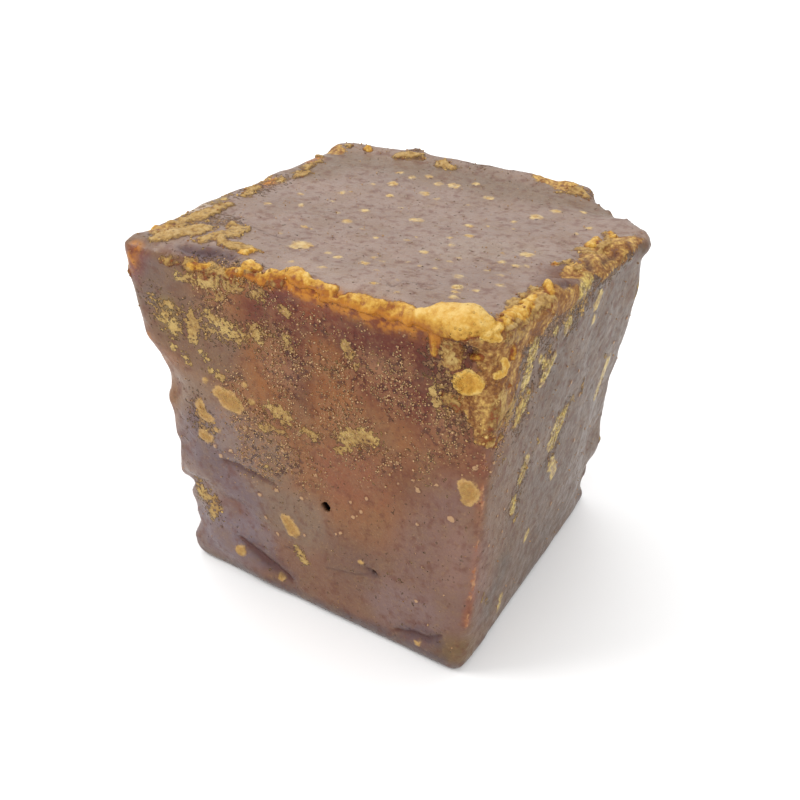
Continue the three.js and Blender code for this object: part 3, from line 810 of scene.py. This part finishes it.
for name, distance in near.items():
    store(mesh, name, np.clip(distance, -3, 3))
for name, field in soft.items():
    store(mesh, name, field)
store(mesh, "crest", crest)
store(mesh, "cavity", np.clip(cavity, -1, 1))
store(mesh, "upward", upward)
store(mesh, "tint", np.clip(tint, 0, 1))


# -------- materials
class Nodes:
    """Short ways to build a material's node tree."""

    def __init__(self, name):
        self.material = bpy.data.materials.new(name)
        self.material.use_nodes = True
        self.tree = self.material.node_tree
        self.shader = self.tree.nodes["Principled BSDF"]
        self.place = self.add("ShaderNodeTexCoord").outputs["Object"]

    def add(self, kind, **settings):
        node = self.tree.nodes.new(kind)
        for key, value in settings.items():
            setattr(node, key, value)
        return node

    def put(self, socket, value):
        if isinstance(value, bpy.types.NodeSocket):
            self.tree.links.new(value, socket)
        else:
            socket.default_value = value

    def attribute(self, name, output="Fac"):
        return self.add("ShaderNodeAttribute", attribute_name=name).outputs[output]

    def math(self, operation, *values):
        node = self.add("ShaderNodeMath", operation=operation)
        for socket, value in zip(node.inputs, values):
            self.put(socket, value)
        return node.outputs[0]

    def times(self, first, second):
        return self.math("MULTIPLY", first, second)

    def plus(self, value, other, factor):
        """The value with a share of another added."""
        return self.math("MULTIPLY_ADD", other, factor, value)

    def most(self, first, *others):
        """The greatest of several values."""
        for other in others:
            first = self.math("MAXIMUM", first, other)
        return first

    def ramp(self, value, low, high, to_low=0.0, to_high=1.0):
        """The value's range from low to high, eased onto another range."""
        node = self.add("ShaderNodeMapRange", interpolation_type="SMOOTHSTEP")
        for socket, given in zip(node.inputs, (value, low, high, to_low, to_high)):
            self.put(socket, given)
        return node.outputs[0]

    def mix(self, amount, first, second):
        node = self.add("ShaderNodeMix", data_type="RGBA")
        self.put(node.inputs["Factor"], amount)
        for socket, value in ((node.inputs[6], first), (node.inputs[7], second)):
            self.put(socket, (*srgb(value), 1) if isinstance(value, str) else value)
        return node.outputs[2]

    def scale(self, value, *stops):
        """The colour at a value from 0 to 1 on a scale of (position, colour) stops."""
        node = self.add("ShaderNodeValToRGB")
        self.put(node.inputs["Fac"], value)
        elements = node.color_ramp.elements
        while len(elements) < len(stops):
            elements.new(0.5)
        for element, (position, colour) in zip(elements, stops):
            element.position = position
            element.color = (*srgb(colour), 1)
        return node.outputs["Color"]

    def noise(self, wavelength, detail=3.0, roughness=0.55, stretch=None):
        """Noise between 0 and 1 with a wavelength in millimetres."""
        place = self.place
        if stretch:
            mapping = self.add("ShaderNodeMapping")
            self.put(mapping.inputs["Vector"], place)
            mapping.inputs["Scale"].default_value = stretch
            place = mapping.outputs[0]
        node = self.add("ShaderNodeTexNoise")
        self.put(node.inputs["Vector"], place)
        node.inputs["Scale"].default_value = 1 / (wavelength * MM)
        node.inputs["Detail"].default_value = detail
        node.inputs["Roughness"].default_value = roughness
        return node.outputs["Fac"]

    def cells(self, size):
        """The distance from the middle of each of many cells, and a random value for each cell."""
        node = self.add("ShaderNodeTexVoronoi")
        self.put(node.inputs["Vector"], self.place)
        node.inputs["Scale"].default_value = 1 / (size * MM)
        return node.outputs["Distance"], node.outputs["Color"]

    def bump(self, height, depth, normal=None):
        """A bump whose height of 1 stands for a depth in millimetres."""
        node = self.add("ShaderNodeBump")
        node.inputs["Strength"].default_value = 1.0
        node.inputs["Distance"].default_value = depth * MM
        self.put(node.inputs["Height"], height)
        if normal is not None:
            self.put(node.inputs["Normal"], normal)
        return node.outputs[0]

    def finish(self, colour, roughness, normal, **fixed):
        self.put(self.shader.inputs["Base Color"], colour)
        self.put(self.shader.inputs["Roughness"], roughness)
        self.put(self.shader.inputs["Normal"], normal)
        for name, value in fixed.items():
            self.shader.inputs[name.replace("_", " ")].default_value = value
        return self.material


MAROON = "54281a"
OLIVE_BROWN = "6d5339"
GOLD_LIGHT = "c6a660"
GOLD_YELLOW = "b78c38"
GOLD = "a0701f"
GOLD_DEEP = "7c4710"
MEAL_LIGHT = "ab8f60"
MEAL = "98773f"
MEAL_DEEP = "735128"
GILT = ("62360f", "7c5020", "8c6536", "a07a3d", "c09a54")
THIN_LIGHT = "ab8f55"
THIN_MID = "8e6d3a"
THIN_DARK = "6e5035"
STREAK_PALE = "bca35a"
STREAK_DEEP = "8c6e3c"
TAN_DISC = "986f36"
TAN_RIM = "ae8a55"
EDGE_HIGHLIGHT_TAN = "a77b56"
EDGE_RUST = "8a5230"
PALE_SPOT = "b69c68"
GOLD_SPOT = "a07b3c"
# A painted glow of light through thin sugar.
AMBER_GLOW = "a96b14"
RED_AMBER = "73360c"
SAND_PALE = "bb966c"
SAND_GOLD = "8a6a42"
SAND_HAZE = "7c5334"
# Painted shade: the black of the hollows and air holes.
HOLLOW_SHADE_BLACK = "1c0d0a"
PIT_MAROON = "38150c"
# Painted shade in the ledges and creases.
GROOVE_SHADE_PURPLE = "402a2c"
SUGAR_IOR = 1.5
SPECULAR = 0.28


def jaggery_material():
    """The skin in layers, each mixed over the last: bare sugar, bloom, gilding, thin sugar, thick crust."""
    nodes = Nodes("jaggery_skin")
    mix, ramp, scale = nodes.mix, nodes.ramp, nodes.scale
    plus, times, most = nodes.plus, nodes.times, nodes.most
    near = {name: nodes.attribute(name) for name in FEATURES}
    sand, amber, mealy, cavity, upward, crest, gilded = (
        nodes.attribute(name) for name in ("sand", "amber", "mealy", "cavity", "upward", "crest", "gilded")
    )
    finest, fine, medium = nodes.noise(0.5, 2), nodes.noise(0.95), nodes.noise(2.4, 4)
    broad, dust = nodes.noise(7.0, 4), nodes.noise(1.6, 4, 0.65)
    wobble, fine_waver, medium_waver, broad_waver, dust_waver = (
        nodes.math("SUBTRACT", noise, 0.5) for noise in (nodes.noise(1.1, 4, 0.65), fine, medium, broad, dust)
    )

    def edge(name, waver, outer=0.3, inner=-0.4):
        """1 inside a feature and 0 outside it, with a ragged edge."""
        return ramp(plus(near[name], wobble, waver), inner, outer, 1, 0)

    # The skin: mottled brown, lighter and redder by turns, and a painted amber glow where the edge is thin.
    base = nodes.attribute("tint", "Color")
    base = mix(ramp(broad, 0.45, 0.65, 0, 0.3), base, OLIVE_BROWN)
    base = mix(ramp(medium, 0.48, 0.70, 0, 0.5), base, MAROON)
    base = mix(ramp(fine, 0.50, 0.70, 0, 0.2), base, SAND_GOLD)
    base = mix(ramp(finest, 0.30, 0.45, 0.2, 0), base, MAROON)
    thin_edge_glow = mix(ramp(medium, 0.38, 0.6), RED_AMBER, AMBER_GLOW)
    base = mix(times(amber, ramp(medium, 0.3, 0.55, 0.5, 0.95)), base, thin_edge_glow)

    # The sandy bloom: dark pits, a haze of crystals and pale crystals one by one.
    crystal_at, crystal_kind = nodes.cells(0.85)
    chance = plus(plus(crystal_kind, sand, 0.4), broad_waver, 1.2)
    crystals = times(ramp(crystal_at, 0.20, 0.42, 1, 0), ramp(chance, 0.76, 0.88))
    crystals = times(crystals, ramp(sand, 0, 0.6, 0.1, 0.95))
    haze = times(ramp(plus(dust, sand, 0.12), 0.54, 0.68, 0, 0.6), sand)
    pits = times(ramp(dust, 0.36, 0.48, 1, 0), ramp(sand, 0.1, 0.9, 0.02, 0.75))
    base = mix(pits, base, PIT_MAROON)
    base = mix(haze, base, SAND_HAZE)
    base = mix(crystals, base, mix(ramp(crystal_kind, 0.5, 0.9), SAND_GOLD, SAND_PALE))
    # Painted shade: a maroon ring round each pale speck.
    base = mix(ramp(near["specks"], 0.1, 0.6, 0.35, 0), base, MAROON)
    base = mix(times(edge("specks", 0.6, 0.15, -0.1), 0.55), base, SAND_PALE)

    # Flecks of the mealy bloom, dull here and bright there.
    patchy = plus(plus(plus(0.45, fine_waver, 1.3), broad_waver, 1.6), near["thin"], -0.12)
    thin_colour = scale(patchy, (0.15, THIN_DARK), (0.42, THIN_MID), (0.85, THIN_LIGHT))
    flecks = times(ramp(plus(plus(wobble, mealy, 0.2), fine_waver, 0.35), 0.13, 0.24), 0.75)
    colour = mix(flecks, base, thin_colour)

    # The gilding runs in patches of brown, gold and tan, drawn out upwards.
    # It is a little lighter where it faces up: painted light.
    streak = plus(plus(nodes.noise(3.2, 4, 0.6, (1, 1, 0.6)), fine_waver, 0.8), upward, 0.08)
    gilt = scale(streak, *zip((0.36, 0.46, 0.54, 0.62, 0.74), GILT))
    gilt_edge = ramp(plus(gilded, wobble, 1.4), 0.35, 0.6)
    colour = mix(times(gilt_edge, ramp(streak, 0.3, 0.45, 0.5, 0.95)), colour, gilt)

    # Thin sugar: grainy patches, the streaks of the right face, the spots of the top and the flat discs.
    grainy = plus(plus(fine, near["thin"], -0.16), wobble, 0.5)
    thin = times(ramp(grainy, 0.42, 0.58), ramp(near["thin"], 0.2, 0.8, 0.9, 0))
    colour = mix(thin, colour, thin_colour)
    streaks = times(edge("streaks", 2.8, 0.35, -0.5), ramp(fine, 0.38, 0.50, 0.4, 1))
    colour = mix(streaks, colour, mix(ramp(dust, 0.4, 0.58), STREAK_DEEP, STREAK_PALE))
    spots = times(edge("spots", 2.4, 0.4, -0.6), ramp(medium, 0.3, 0.52, 0.45, 1))
    colour = mix(spots, colour, mix(ramp(dust, 0.4, 0.58), GOLD_SPOT, PALE_SPOT))
    disc = times(edge("discs", 2.0, 0.3, -0.4), ramp(fine, 0.3, 0.5, 0.7, 0.97))
    disc_colour = mix(ramp(plus(near["discs"], wobble, 2.0), -1.4, -0.2), TAN_DISC, TAN_RIM)
    disc_colour = mix(ramp(medium, 0.42, 0.62, 0, 0.75), disc_colour, THIN_MID)
    disc_colour = mix(ramp(fine, 0.5, 0.7, 0, 0.4), disc_colour, THIN_LIGHT)
    colour = mix(disc, colour, disc_colour)

    # The thick crust: a painted highlight on its crests and where it faces up, painted shade of deep gold
    # and amber in its creases, and a painted amber glow along its edge, most where it faces down.
    smooth_pad = edge("pad", 0.8, 0.15, -0.3)
    unrest = ramp(near["pad"], -1.5, 0.2, 0.7, 1)
    spread = plus(times(medium_waver, 1.2), fine_waver, 0.9)
    # Painted highlight and shade: the tone rises with the crest and where the crust faces up.
    tone = plus(plus(times(crest, 0.42), upward, 0.26), spread, unrest)
    tone = plus(plus(tone, amber, -0.14), smooth_pad, 0.09)
    golds = (0, RED_AMBER), (0.14, GOLD_DEEP), (0.32, GOLD), (0.52, GOLD_YELLOW), (0.78, GOLD_LIGHT)
    gold = scale(tone, *golds)
    meal = scale(tone, (0, RED_AMBER), (0.14, MEAL_DEEP), (0.38, MEAL), (0.75, MEAL_LIGHT))
    gold = mix(times(amber, ramp(upward, 0.1, 0.7, 0.7, 0)), gold, AMBER_GLOW)
    ragged = times(edge("ragged", 3.0, 0.5, -0.7), ramp(plus(fine, dust, 0.8), 0.55, 0.85, 0.35, 1))
    line = times(edge("edge_line", 3.0, 0.2, -0.5), ramp(fine, 0.4, 0.6, 0.05, 0.85))
    crust = most(edge("crust", 1.6, 0.2, -0.3), smooth_pad)
    colour = mix(ragged, colour, meal)
    # The edge line: rust, with tan bits of painted highlight.
    colour = mix(line, colour, mix(ramp(medium, 0.42, 0.6), EDGE_RUST, EDGE_HIGHLIGHT_TAN))
    colour = mix(crust, colour, gold)
    plate = edge("plates", 0.9, 0.1, -0.15)
    plate_light = plus(plus(ramp(near["plates"], -1.6, -0.2, 0.1, 0.6), wobble, 1.0), dust_waver, 1.2)
    colour = mix(plate, colour, scale(plate_light, (0, GOLD), (0.45, GOLD_YELLOW), (0.8, GOLD_LIGHT)))

    # Painted shade: hollows darker, most when facing down; ledges and creases nearly purple; air holes black.
    hollow_shade = times(ramp(cavity, 0.06, 0.35), ramp(upward, 0.2, 0.9, 0.7, 0.3))
    colour = mix(hollow_shade, colour, mix(0.35, RED_AMBER, HOLLOW_SHADE_BLACK))
    colour = mix(ramp(near["ledges"], -0.6, 1.0, 0.65, 0), colour, GROOVE_SHADE_PURPLE)
    colour = mix(ramp(near["creases"], -0.3, 0.5, 0.5, 0), colour, GROOVE_SHADE_PURPLE)
    colour = mix(ramp(near["holes"], -0.2, 0.2, 1, 0), colour, HOLLOW_SHADE_BLACK)

    # The bare skin is waxy; what covers it is rough and grainy.
    covered = most(ragged, gilt_edge, disc, thin, flecks, crystals, times(most(crust, plate), 0.4))
    roughness = plus(ramp(medium, 0.3, 0.7, 0.28, 0.46), covered, 0.28)
    normal = nodes.bump(nodes.noise(2.2, 5), 0.25)
    normal = nodes.bump(times(finest, ramp(covered, 0, 1, 0.2, 1)), 0.3, normal)
    normal = nodes.bump(most(crust, ragged, times(most(thin, flecks), 0.5)), 0.18, normal)
    normal = nodes.bump(nodes.math("SUBTRACT", crystals, pits), 0.16, normal)
    return nodes.finish(colour, roughness, normal, IOR=SUGAR_IOR, Specular_IOR_Level=SPECULAR)


def grain_material(name, light, deep, roughness):
    """Loose sugar: each grain has its own tone, with deep gold in its flaws."""
    nodes = Nodes(name)
    colour = nodes.mix(nodes.attribute("tone"), deep, light)
    colour = nodes.mix(nodes.ramp(nodes.noise(0.8), 0.4, 0.7, 0, 0.6), colour, GOLD_DEEP)
    shine = nodes.ramp(nodes.noise(0.6), 0.3, 0.7, roughness - 0.1, roughness + 0.1)
    return nodes.finish(colour, shine, nodes.bump(nodes.noise(0.4, 3), 0.2), IOR=SUGAR_IOR)


# -------- pieces
def add_piece(name, mesh, material):
    piece = placed(name, mesh)
    mesh.name = name
    mesh.materials.clear()
    mesh.materials.append(material)
    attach(piece, BODY)
    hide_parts(NODE)


def smooth_shading(mesh):
    mesh.polygons.foreach_set("use_smooth", [True] * len(mesh.polygons))


def sample_surface(mesh, weights, count, rng):
    """Random places on a mesh of quads, more of them where the vertices weigh more."""
    corners = np.array([p.vertices[:3] for p in mesh.polygons])
    area = np.array([p.area for p in mesh.polygons])
    chance = area * weights[corners].mean(1)
    picked = rng.choice(len(corners), count, p=chance / chance.sum())
    share = rng.dirichlet((1, 1, 1), count)
    where = np.einsum("ij,ijk->ik", share, places_of(mesh)[corners[picked]])
    return where, normals_of(mesh)[corners[picked, 0]]


def pebbles(name, where, out, sizes, subdivisions, sink, rng):
    """One mesh of many small rough pebbles, each seated in the surface."""
    ball = bmesh.new()
    bmesh.ops.create_icosphere(ball, subdivisions=subdivisions, radius=1)
    unit = np.array([v.co for v in ball.verts])
    faces = np.array([[v.index for v in f.verts] for f in ball.faces])
    ball.free()
    count = len(where)
    turns = np.linalg.qr(rng.normal(size=(count, 3, 3)))[0]
    turns *= np.sign(np.linalg.det(turns))[:, None, None]
    stretch = rng.uniform(0.65, 1.25, (count, 1, 3))
    bumps = 1 + rng.uniform(-0.22, 0.22, (count, len(unit), 1))
    shapes = np.einsum("cij,cvj->cvi", turns, unit[None] * stretch * bumps) * sizes[:, None, None]
    shapes += (where + out * (sizes * (1 - sink))[:, None])[:, None, :]
    shapes[:, :, 2] = np.maximum(shapes[:, :, 2], OFF_FLOOR)
    all_faces = (faces[None] + np.arange(count)[:, None, None] * len(unit)).reshape(-1, 3)
    made = bpy.data.meshes.new(name)
    made.from_pydata((shapes.reshape(-1, 3) * MM).tolist(), [], all_faces.tolist())
    store(made, "tone", np.repeat(rng.uniform(0, 1, count), len(unit)))
    return made


def strewn(name, weights, count, seed, least, extra, fineness, subdivisions, sink):
    """Pebbles over the block, from the least radius to that and the extra, most of them small."""
    rng = np.random.default_rng(seed)
    where, out = sample_surface(mesh, weights, count, rng)
    sizes = least + extra * rng.beta(*fineness, count)
    return pebbles(name, where, out, sizes, subdivisions, sink, rng)


smooth_shading(mesh)
add_piece("jaggery_skin", mesh, jaggery_material())

at_ragged_edge = within(-0.8, -0.1, "ragged") * smoothstep(near["ragged"], -0.6, 0.1)
crumb_weight = (0.1 * mealy ** 2 + at_ragged_edge) * lifted
crumbs = strewn(
    "crust_crumbs", crumb_weight, CRUMBS, seed=31,
    least=0.14, extra=0.4, fineness=(1.1, 4.0), subdivisions=2, sink=0.8,
)
smooth_shading(crumbs)
add_piece("crust_crumbs", crumbs, grain_material("crumb_gold", GOLD_LIGHT, GOLD_DEEP, 0.65))

bare = smoothstep(nearest_of(near, "pad", "crust", "ragged", "plates", "discs"), 0, 0.6) * (1 - gilded)
grain_weight = (sand ** 2 + 0.01) * lifted * bare
grains = strewn(
    "sugar_grains", grain_weight, GRAINS, seed=47,
    least=0.1, extra=0.24, fineness=(1.2, 4.0), subdivisions=1, sink=0.6,
)
add_piece("sugar_grains", grains, grain_material("sugar_grain", SAND_PALE, SAND_GOLD, 0.45))


# -------- stage and light
def make_floor(half, grey, roughness):
    mesh = bpy.data.meshes.new("floor")
    corners = [(-half, -half, 0), (half, -half, 0), (half, half, 0), (-half, half, 0)]
    mesh.from_pydata(corners, [], [(0, 1, 2, 3)])
    material = bpy.data.materials.new("floor")
    material.use_nodes = True
    shader = material.node_tree.nodes["Principled BSDF"]
    shader.inputs["Base Color"].default_value = (grey, grey, grey, 1)
    shader.inputs["Roughness"].default_value = roughness
    mesh.materials.append(material)
    floor = placed("floor", mesh)


def make_light(name, kind, energy, at, aim=(0, 0, 0), **settings):
    """A light that shines from one place on another. Of a sun, only the direction counts."""
    data = bpy.data.lights.new(name, kind)
    data.energy = energy
    for key, value in settings.items():
        setattr(data, key, value)
    light = placed(name, data)
    light.location = at
    light.rotation_euler = (Vector(at) - Vector(aim)).to_track_quat("Z", "Y").to_euler()


make_floor(half=6.0, grey=0.86, roughness=0.8)
make_light("overhead", "SUN", energy=1.1, at=(-0.25, 0.35, 0.9), angle=math.radians(60))
make_light("front", "SUN", energy=1.2, at=(0.65, -0.65, 0.4), angle=math.radians(80))
make_light("key", "AREA", energy=2.5, at=(-0.45, -0.35, 0.6), aim=(0, 0, 0.05), shape="DISK", size=0.3)
world = bpy.data.worlds.new("studio")
world.use_nodes = True
background = world.node_tree.nodes["Background"]
background.inputs["Color"].default_value = (1, 1, 1, 1)
background.inputs["Strength"].default_value = 0.93
bpy.context.scene.world = world
bpy.context.scene.view_settings.view_transform = "Standard"
